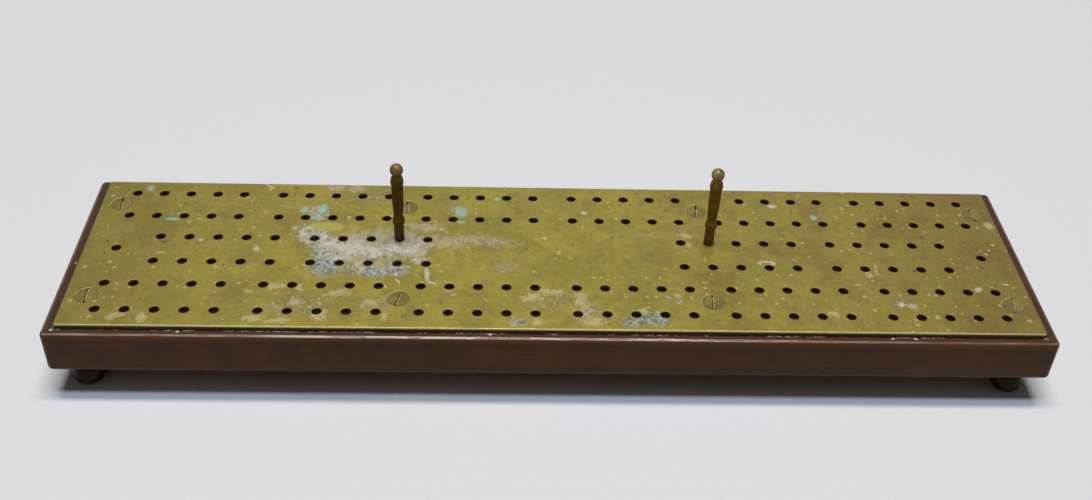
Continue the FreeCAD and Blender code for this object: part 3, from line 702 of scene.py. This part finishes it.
def add_stains(brass, base, spot, x, mottle, fine):
    """Polish residue, verdigris and paint on the plate. Returns the colour and how thick the deposit is."""
    stirred = brass.stirred(spot, 0.55, 3.0)
    shaken = brass.stirred(spot, 0.9, 1.0)
    speckle = brass.ramp(brass.noise(spot, 1.1, 4.0, 0.75), 0.42, 0.6)
    streak = brass.noise(brass.scaled(spot, (1.0, 0.35, 1.0)), 0.9, 4.0, 0.7)
    streak = brass.ramp(streak, 0.34, 0.66, 0.45, 1.0)

    base, spatter, tone = add_spatter(brass, base, spot, stirred)
    haze = brass.times(brass.stain(stirred, HAZE, fine, 1.6, 0.9), streak)
    base = brass.lay(base, haze, 0.4, tint(178, 162, 122))
    rough_edge = brass.math("MULTIPLY_ADD", brass.math("SUBTRACT", fine, 0.5), 0.8, mottle)
    pink = brass.times(brass.stain(stirred, CHALK_PINK, rough_edge, 2.2, 0.8, 1.5), streak)
    pink = brass.times(pink, brass.ramp(x, -46.0, -14.0, 0.85, 0.4))
    base = brass.lay(base, pink, 1.0, tint(190, 176, 156))
    beige = brass.stain(stirred, BEIGE, mottle, 2.2, 0.7, 1.25)
    beige = brass.times(beige, brass.ramp(speckle, 0.0, 1.0, 0.6, 1.0))
    base = brass.lay(base, beige, 0.72, tint(206, 194, 146))
    blue = brass.stain(stirred, BLUE_GREY, fine, 1.8, 0.6, 1.25)
    blue = brass.times(blue, brass.ramp(speckle, 0.0, 1.0, 0.45, 1.0))
    blue_tone = brass.mix(brass.ramp(tone, 0.44, 0.54), tint(92, 104, 102), tint(176, 188, 194))
    base = brass.lay(base, blue, 0.9, blue_tone)
    chalk = brass.times(brass.stain(stirred, CHALK, rough_edge, 2.8, 0.9, 1.4), streak)
    base = brass.lay(base, chalk, 0.95, tint(212, 208, 198))
    teal = brass.stain(shaken, TEAL, fine, 1.6, 0.6, 1.25)
    teal = brass.times(teal, brass.ramp(speckle, 0.0, 1.0, 0.5, 1.0))
    base = brass.lay(base, teal, 0.95, tint(150, 206, 188))
    cream = brass.stain(shaken, CREAM, fine, 1.4, 0.7, 1.1)
    base = brass.lay(base, cream, 0.62, tint(200, 188, 118))
    white = brass.stain(shaken, WHITE, fine, 1.8, 0.6)
    base = brass.lay(base, white, 0.78, tint(214, 208, 190))
    half_clean = brass.stain(shaken, RUBBED_CLEAN, mottle, 1.6, 0.6)
    base = brass.lay(base, half_clean, 0.75, tint(176, 158, 106))
    clean = brass.stain(brass.stirred(spot, 0.5, 1.6), CLEAN, fine, 0.6, 0.3)
    base = brass.lay(base, clean, 0.92, tint(177, 165, 80))
    thick = brass.times(brass.most(chalk, pink, beige, blue, teal, cream, white, spatter),
                        brass.math("SUBTRACT", 1.0, clean))
    return base, thick


def add_specks(brass, base, spot, fine):
    """Dark spots, rust-coloured rings and scattered dust. Returns the colour and the pits."""
    dark = brass.stain(brass.stirred(spot, 0.9, 0.8), DARK, fine, 1.0, 0.8)
    base = brass.lay(base, dark, 0.75, tint(78, 56, 28))
    ring = brass.math("ABSOLUTE", brass.math("SUBTRACT", brass.nearness(spot, RINGS), 0.8))
    base = brass.lay(base, brass.ramp(ring, 0.3, 0.05), 0.45, tint(116, 78, 40))
    crowd = brass.ramp(brass.noise(spot, 0.08, 3.0, 0.6), 0.46, 0.58, 0.1, 1.0)
    jittered = brass.stirred(spot, 1.4, 0.7)
    dust = brass.times(brass.specks(jittered, 0.4, 0.34, 0.32), crowd)
    base = brass.lay(base, dust, 0.72, tint(194, 181, 112))
    motes = brass.specks(brass.moved(jittered, (11.0, 29.0, 0.0)), 0.9, 0.34, 0.09)
    base = brass.lay(base, motes, 0.5, tint(190, 179, 119))
    rust = brass.specks(brass.moved(jittered, (31.0, 17.0, 0.0)), 0.42, 0.25, 0.16)
    base = brass.lay(base, rust, 0.55, tint(104, 66, 30))
    pits = brass.specks(brass.moved(jittered, (7.0, 53.0, 0.0)), 0.6, 0.2, 0.1)
    return brass.lay(base, pits, 0.6, tint(72, 60, 26)), pits


def plate_finish():
    """Old brass: olive tarnish, fine scratches, polish residue, verdigris and specks, with painted highlights
    on its rims and painted shade down its walls.
    """
    brass = Finish("plate_brass")
    spot = brass.moved(brass.place, tuple(-pattern_middle))
    x, y, z = brass.axes(brass.place)
    mottle = brass.noise(spot, 0.35, 5.0, 0.65)
    fine = brass.noise(spot, 2.2, 3.0, 0.65)
    grain = brass.noise(brass.scaled(spot, (0.25, 5.0, 1.0)), 1.0, 3.0, 0.6)
    hairs = brass.noise(brass.scaled(spot, (5.0, 0.3, 1.0)), 1.0, 3.0, 0.65)

    base = tarnish(brass, spot, x, mottle)
    base = brass.lay(base, brass.ramp(grain, 0.55, 0.8), 0.2, tint(175, 161, 80))
    base = brass.lay(base, brass.ramp(hairs, 0.6, 0.8), 0.16, tint(178, 164, 89))
    base, thick = add_stains(brass, base, spot, x, mottle, fine)
    base, pits = add_specks(brass, base, spot, fine)

    # grime round the holes, a painted highlight on each screw seat's rim, a painted highlight along the long
    # arrises and painted shade down the walls
    rim = brass.times(brass.layer("grime"), brass.ramp(fine, 0.3, 0.7, 0.3, 1.0))
    base = brass.lay(base, rim, 0.4, tint(104, 92, 50))
    # painted highlight: the pale arc on each screw seat's rim
    pale = brass.times(brass.layer("seat_highlight"), brass.ramp(mottle, 0.35, 0.55))
    base = brass.lay(base, pale, 0.7, tint(216, 206, 156))
    # painted highlight along the front and back arrises
    off_edge = brass.beyond(y, plate_middle.y, plate_half.y)
    arris_highlight = brass.times(brass.ramp(off_edge, -PLATE_ARRIS - 0.12, -PLATE_ARRIS + 0.04),
                         brass.ramp(fine, 0.3, 0.5, 0.35, 1.0))
    base = brass.lay(base, arris_highlight, 0.75, tint(191, 180, 122))
    # painted shade: the walls of the holes and of the plate's edge darken below the top
    base = brass.mix(brass.ramp(z, plate_high.z - 0.3, plate_high.z - 0.6), base, tint(64, 50, 18))
    base = brass.lay(base, brass.ramp(z, plate_high.z - 0.9, plate_high.z - 1.4), 0.8, tint(48, 34, 16))

    height = brass.math("SUBTRACT", brass.math("MULTIPLY", thick, 0.6), brass.math("MULTIPLY", pits, 0.8))
    height = brass.math("ADD", height, brass.math("MULTIPLY", fine, 0.12))
    shaped = brass.bump(grain, 0.02, brass.bump(height, 0.12))
    rough = brass.math("ADD", brass.ramp(mottle, 0.3, 0.7, 0.42, 0.55), brass.math("MULTIPLY", thick, 0.3))
    return brass.set(Base_Color=base, Roughness=rough, Metallic=brass.ramp(thick, 0.0, 0.8, 0.45, 0.05),
                     Normal=shaped)


# ---- wood ----

def mahogany_figure(wood, stretch, figure, pores, cloud):
    """Dark red-brown figure with pores, blots and redder streaks."""
    base = wood.mix(wood.ramp(figure, 0.3, 0.7), tint(72, 40, 13), tint(84, 50, 18))
    base = wood.lay(base, wood.ramp(cloud, 0.4, 0.7), 0.6, tint(54, 38, 16))
    base = wood.lay(base, wood.ramp(pores, 0.58, 0.72), 0.35, tint(34, 20, 8))
    blots = wood.noise(wood.scaled(wood.place, (0.4, 0.4, 0.7)), 0.6, 4.0, 0.7)
    base = wood.lay(base, wood.ramp(blots, 0.54, 0.66), 0.35, tint(36, 24, 12))
    red = wood.ramp(wood.noise(wood.scaled(wood.place, stretch), 1.1, 3.0, 0.6), 0.58, 0.75)
    return wood.lay(base, red, 0.25, tint(92, 48, 20))


def add_wear_and_highlight(wood, base, x, z, edge, fine, wear_and_highlight):
    """Polish worn off the top arris, a painted highlight in a thin line along it, reddish and dark bands
    under it, and a dull border beside the plate.
    """
    worn = wood.times(wood.ramp(edge, -1.6, -0.5), wood.ramp(z, case_top - 2.8, case_top - 1.0),
                      wood.ramp(fine, 0.3, 0.62, 0.25, 1.0))
    base = wood.lay(base, worn, wear_and_highlight["worn"], tint(116, 70, 40))
    # painted highlight: a thin pale line on the arris stands in for the overhead lamps' reflection
    raised = wood.math("ADD", edge, HIGHLIGHT_RISE)
    round_arris = wood.math("SUBTRACT", raised, wood.math("SUBTRACT", z, case_top))
    patchy = wood.noise(wood.scaled(wood.place, (0.06, 0.5, 0.5)), 1.0, 4.0, 0.7)
    painted_highlight = wood.times(wood.ramp(wood.math("ABSOLUTE", round_arris), 0.62, 0.25),
                        wood.ramp(edge, -1.8, -1.4),
                        wood.ramp(wood.beyond(x, HIGHLIGHT_MIDDLE, 0.0), 120.0, 40.0, 0.35, 1.0),
                        wood.ramp(patchy, 0.42, 0.56, 0.35, 1.0))
    highlight_tone = wood.mix(wood.ramp(x, 20.0, 90.0), tint(238, 222, 210), tint(216, 178, 144))
    base = wood.lay(base, painted_highlight, wear_and_highlight["painted_highlight"], highlight_tone)
    upper = wood.times(wood.ramp(z, case_top - 6.0, case_top - 2.6), wood.ramp(edge, -0.6, -0.2))
    base = wood.lay(base, upper, wear_and_highlight["upper"], tint(72, 38, 8))
    under = wood.times(wood.ramp(z, case_top - 2.4, case_top - 2.9),
                       wood.ramp(z, case_top - 4.0, case_top - 3.2))
    base = wood.lay(base, under, wear_and_highlight["under"], tint(34, 24, 18))
    border = wood.times(wood.ramp(z, case_top - 0.5, case_top - 0.1), wood.ramp(edge, -1.0, -1.9))
    return wood.lay(base, border, 0.7, tint(*wear_and_highlight["border"]))


def add_seam_shade_and_dirt(wood, base, x, y, z, fine):
    """Painted shade and dirt in the seam round the plate. Returns the colour, and the small and the large
    crumbs of polish.
    """
    seam = wood.most(wood.beyond(x, plate_middle.x, plate_half.x),
                     wood.beyond(y, plate_middle.y, plate_half.y))
    # painted shade: the rail top darkens right beside the plate's raised edge, where the crumbs also lie
    near = wood.times(wood.ramp(seam, 0.9, 0.15), wood.ramp(z, case_top - 0.4, case_top - 0.1))
    base = wood.lay(base, near, 0.7, tint(34, 22, 10))
    crumbs = wood.times(wood.ramp(wood.noise(wood.place, 0.16, 3.0, 0.6), 0.5, 0.58), near,
                        wood.ramp(wood.noise(wood.place, 1.3, 3.0, 0.75), 0.46, 0.56))
    base = wood.lay(base, crumbs, 0.8, tint(170, 152, 132))
    spot = wood.moved(wood.place, tuple(-pattern_middle))
    lumps = wood.times(wood.stain(wood.stirred(spot, 0.9, 0.6), RAIL_CRUMBS, fine, 0.8, 0.5),
                       wood.ramp(z, case_top - 0.8, case_top - 0.4))
    return wood.lay(base, lumps, 0.95, tint(214, 208, 200)), crumbs, lumps


def mahogany_finish(name, along_x):
    """French-polished mahogany with its grain along the rail, worn and dirty where it is handled, with a
    painted highlight along the top arris and painted shade beside the plate.
    """
    wood = Finish(name)
    at = wood.place
    x, y, z = wood.axes(at)
    stretch = (0.03, 0.8, 0.8) if along_x else (0.8, 0.03, 0.8)
    lines = (0.12, 3.2, 3.2) if along_x else (3.2, 0.12, 3.2)
    figure = wood.noise(wood.scaled(at, stretch), 0.5, 4.0, 0.6, 0.6)
    pores = wood.noise(wood.scaled(at, lines), 1.0, 3.0, 0.6)
    cloud = wood.noise(at, 0.07, 4.0, 0.6)
    fine = wood.noise(at, 1.6, 4.0, 0.7)

    base = mahogany_figure(wood, stretch, figure, pores, cloud)
    out_x = wood.beyond(x, case_middle_x, case_half_x)
    edge = wood.most(out_x, wood.beyond(y, 0.0, case_half_y))
    base = add_wear_and_highlight(wood, base, x, z, edge, fine, LONG_WEAR_AND_HIGHLIGHT if along_x else CROSS_WEAR_AND_HIGHLIGHT)
    base, crumbs, lumps = add_seam_shade_and_dirt(wood, base, x, y, z, fine)

    shaped = wood.bump(fine, 0.02, wood.bump(pores, 0.03))
    rough = wood.times(wood.ramp(cloud, 0.3, 0.75, 0.34, 0.5), wood.ramp(edge, -1.9, -1.3, 1.0, 0.36))
    rough = wood.math("ADD", rough, wood.math("MULTIPLY", wood.most(crumbs, lumps), 0.4))
    return wood.set(Base_Color=base, Roughness=rough, Normal=shaped, Specular_IOR_Level=0.15)


def inner_wood_finish():
    """Unpolished wood inside and underneath, browned by age, with painted shade deeper below the plate."""
    wood = Finish("inner_wood")
    at = wood.place
    figure = wood.noise(wood.scaled(at, (0.03, 0.6, 0.6)), 0.7, 4.0, 0.6, 0.5)
    pores = wood.noise(wood.scaled(at, (0.15, 3.0, 3.0)), 1.0, 3.0, 0.65)
    base = wood.mix(wood.ramp(figure, 0.35, 0.65), tint(104, 72, 46), tint(128, 92, 60))
    base = wood.lay(base, wood.ramp(pores, 0.55, 0.7), 0.6, tint(70, 46, 28))
    base = wood.lay(base, wood.ramp(wood.noise(at, 0.05, 3.0, 0.6), 0.45, 0.7), 0.6, tint(84, 60, 42))
    # painted light and shade: lighter just under the plate, darker deeper down the peg holes
    painted_light_under_plate = wood.ramp(wood.axes(at)[2], plate_low.z - 3.5, plate_low.z - 0.5)
    base = wood.lay(base, painted_light_under_plate, 0.5, tint(140, 106, 72))
    return wood.set(Base_Color=base, Roughness=wood.ramp(figure, 0.3, 0.7, 0.6, 0.75),
                    Normal=wood.bump(pores, 0.08))


def foot_finish():
    """Turned feet, almost black with old polish and dark red where it has worn."""
    wood = Finish("foot_wood")
    at = wood.place
    rings = wood.noise(wood.scaled(at, (0.3, 0.3, 3.0)), 1.0, 3.0, 0.6)
    cloud = wood.noise(at, 0.35, 4.0, 0.6)
    base = wood.mix(wood.ramp(cloud, 0.35, 0.65), tint(26, 15, 5), tint(38, 20, 8))
    base = wood.lay(base, wood.ramp(rings, 0.55, 0.75), 0.6, tint(60, 24, 10))
    return wood.set(Base_Color=base, Roughness=wood.ramp(cloud, 0.3, 0.7, 0.26, 0.42),
                    Specular_IOR_Level=0.12, Normal=wood.bump(rings, 0.04))


# ---- small brass ----

def screw_finish():
    """Screw heads: turning marks, painted shade on one side of each head, and painted shade deeper in the
    slots.
    """
    brass = Finish("screw_brass")
    at = brass.place
    x, y, z = brass.axes(brass.moved(at, tuple(-pattern_middle)))

    # the place round the centre of the nearest screw, as an angle and a radius
    inner, outer = SCREW_X
    column = brass.math("GREATER_THAN", brass.math("ABSOLUTE", x), (inner + outer) / 2)
    centre = brass.math("MULTIPLY_ADD", column, outer - inner, inner)
    side = brass.math("SIGN", x)
    from_x = brass.math("SUBTRACT", x, brass.times(centre, side))
    from_y = brass.math("SUBTRACT", y, brass.math("MULTIPLY", brass.math("SIGN", y), SCREW_Y))
    angle = brass.math("ARCTAN2", from_y, from_x)
    radius = brass.vector_math("LENGTH", brass.joined(from_x, from_y)).outputs["Value"]

    cloud = brass.noise(at, 0.5, 4.0, 0.65)
    turned = brass.joined(brass.math("MULTIPLY", angle, 5.0), brass.math("MULTIPLY", radius, 0.5), side)
    rays = brass.noise(turned, 1.0, 3.0, 0.7)
    base = brass.mix(brass.ramp(cloud, 0.3, 0.7), tint(123, 111, 46), tint(140, 127, 60))
    # painted shade: each head is darker on one side
    twist = brass.times(centre, side, 0.02)
    painted_shade_side = brass.math("COSINE", brass.math("ADD", angle, twist))
    base = brass.lay(base, brass.ramp(painted_shade_side, -0.3, 0.5), 0.4, tint(91, 78, 32))
    base = brass.lay(base, brass.ramp(rays, 0.52, 0.64), 0.3, tint(144, 133, 76))
    rim = brass.ramp(radius, SCREW_HEAD_RADIUS - 0.2, SCREW_HEAD_RADIUS)
    base = brass.lay(base, rim, 0.5, tint(65, 54, 22))
    # painted shade: darker deeper in the slot
    base = brass.mix(brass.ramp(z, -0.15, -0.35), base, tint(35, 24, 7))
    return brass.set(Base_Color=base, Roughness=brass.ramp(cloud, 0.3, 0.7, 0.36, 0.5), Metallic=0.5,
                     Normal=brass.bump(rays, 0.02))


def make_slot_polish(material):
    """Old polish caked along one side of each screw slot, as a thin ragged strip below the head's face."""
    surface = bmesh.new()
    for (x, y), (turn, first, last) in zip(screw_places(), SLOT_POLISH):
        turn = math.radians(turn)
        along, across = Vector((-math.sin(turn), math.cos(turn))), Vector((math.cos(turn), math.sin(turn)))
        near, far = [], []
        for step in range(POLISH_STEPS + 1):
            middle = Vector((x, y)) + along * (first + (last - first) * step / POLISH_STEPS)
            width = POLISH_WIDTH + POLISH_WAVE * noise.noise(Vector((x, y, POLISH_RAGGEDNESS * step)))
            near.append(tuple(middle + across * POLISH_SIDE))
            far.append(tuple(middle + across * (POLISH_SIDE - width)))
        points = near + far[::-1]
        top = add_ring(surface, points, plate_high.z - POLISH_TOP)
        bottom = add_ring(surface, points, plate_high.z - POLISH_FOOT)
        join_rings(surface, top, bottom)
        surface.faces.new(top)
        surface.faces.new(bottom[::-1])
    bmesh.ops.recalc_face_normals(surface, faces=surface.faces)
    finish_piece(surface, "slot_polish", material, "case")


def polish_finish():
    """Dry metal polish, cream and crumbly."""
    paste = Finish("dry_polish")
    cloud = paste.noise(paste.place, 1.4, 4.0, 0.7)
    base = paste.mix(paste.ramp(cloud, 0.35, 0.6), tint(150, 138, 92), tint(214, 204, 158))
    return paste.set(Base_Color=base, Roughness=paste.ramp(cloud, 0.3, 0.7, 0.75, 0.9),
                     Normal=paste.bump(cloud, 0.04))


def peg_finish(name, shank_tone, finial_tone, dark_height):
    """A turned peg: a dull brown shank, darker up to a height, and a finial that fingers keep lighter."""
    brass = Finish(name)
    at = brass.place
    above = brass.math("SUBTRACT", brass.axes(at)[2], plate_high.z)
    cloud = brass.noise(at, 0.5, 4.0, 0.65)
    draw = brass.noise(brass.scaled(at, (4.0, 4.0, 0.3)), 1.0, 3.0, 0.65)
    base = brass.mix(brass.ramp(cloud, 0.35, 0.65, 0.1, 0.6), shank_tone, tint(60, 41, 11))
    base = brass.lay(base, brass.ramp(draw, 0.56, 0.75), 0.4, tint(128, 101, 41))
    base = brass.lay(base, brass.ramp(above, dark_height, 0.0), 0.6, tint(45, 30, 11))
    groove_low, groove_high = PEG_GROOVE
    groove = brass.times(brass.ramp(above, groove_low - 0.4, groove_low),
                         brass.ramp(above, groove_high, groove_high - 0.3))
    base = brass.lay(base, groove, 0.6, tint(34, 21, 8))
    finial = brass.ramp(above, PEG_BALL - 0.4, PEG_BALL + 0.8)
    handled = brass.mix(brass.ramp(cloud, 0.4, 0.7), finial_tone, tint(95, 75, 34))
    base = brass.mix(finial, base, handled)
    rough = brass.math("ADD", brass.ramp(cloud, 0.3, 0.7, 0.36, 0.48), brass.math("MULTIPLY", draw, 0.1))
    return brass.set(Base_Color=base, Roughness=brass.math("MULTIPLY_ADD", finial, 0.02, rough),
                     Metallic=brass.math("MULTIPLY_ADD", finial, -0.2, 0.85), Normal=brass.bump(draw, 0.04))


def knob_finish():
    """The drawer's small turned knob."""
    brass = Finish("knob_brass")
    at = brass.place
    cloud = brass.noise(at, 0.7, 4.0, 0.65)
    turned = brass.noise(brass.scaled(at, (5.0, 0.3, 0.3)), 1.0, 2.0, 0.6)
    base = brass.mix(brass.ramp(cloud, 0.35, 0.65), tint(176, 152, 84), tint(120, 98, 50))
    return brass.set(Base_Color=base, Roughness=brass.ramp(cloud, 0.3, 0.7, 0.28, 0.42), Metallic=0.95,
                     Normal=brass.bump(turned, 0.03))


def floor_finish():
    """Plain pale cloth with a faint weave, which fades into the background well away from the box."""
    cloth = Finish("floor_cloth")
    weave = cloth.noise(cloth.place, 1.2, 3.0, 0.6)
    base = cloth.mix(cloth.ramp(weave, 0.3, 0.7), tint(238, 238, 240), tint(241, 241, 243))
    material = cloth.set(Base_Color=base, Roughness=0.9, Specular_IOR_Level=0.15,
                         Normal=cloth.bump(weave, 0.05))
    x, y, _ = cloth.axes(cloth.place)
    away = cloth.vector_math("LENGTH", cloth.joined(x, y, 0.0)).outputs["Value"]
    fade = cloth.times(cloth.ramp(away, *FLOOR_FADE), looked_at(cloth.tree))
    glow = cloth.tree.nodes.new("ShaderNodeEmission")
    glow.inputs["Color"].default_value = BACKGROUND
    blend = cloth.tree.nodes.new("ShaderNodeMixShader")
    for socket, value in zip(blend.inputs, (fade, cloth.shader.outputs[0], glow.outputs[0])):
        cloth.give(socket, value)
    output = next(node for node in cloth.tree.nodes if node.type == "OUTPUT_MATERIAL")
    cloth.give(output.inputs["Surface"], blend.outputs[0])
    return material


def dress(material, *nodes):
    """Gives each CAD node's object one material."""
    for node in nodes:
        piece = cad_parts[node]
        if not piece.material_slots:
            piece.data.materials.append(material)
        for slot in piece.material_slots:
            slot.material = material


def dress_all():
    """Gives every CAD node that stays its material."""
    dress(mahogany_finish("mahogany_long", True), "front_rail", "back_rail")
    dress(mahogany_finish("mahogany_cross", False), "left_end_rail", "right_end_rail", "drawer_front")
    dress(inner_wood_finish(), "peg_bed", "bottom_board",
          "drawer_guide_front", "drawer_guide_back", "drawer_stop",
          "drawer_side_front", "drawer_side_back", "drawer_back", "drawer_bottom")
    dress(foot_finish(), "foot_front_left", "foot_front_right", "foot_back_left", "foot_back_right")
    dress(screw_finish(), "plate_screws")
    dress(knob_finish(), "drawer_knob")
    dress(peg_finish("peg_brass_left", tint(92, 68, 26), tint(120, 98, 52), 6.0), "peg_left")
    dress(peg_finish("peg_brass_right", tint(122, 94, 30), tint(148, 130, 80), 4.0), "peg_right")


make_camera()
make_lights()
make_world()
make_floor(floor_finish())
make_plate(plate_finish())
make_slot_polish(polish_finish())
dress_all()
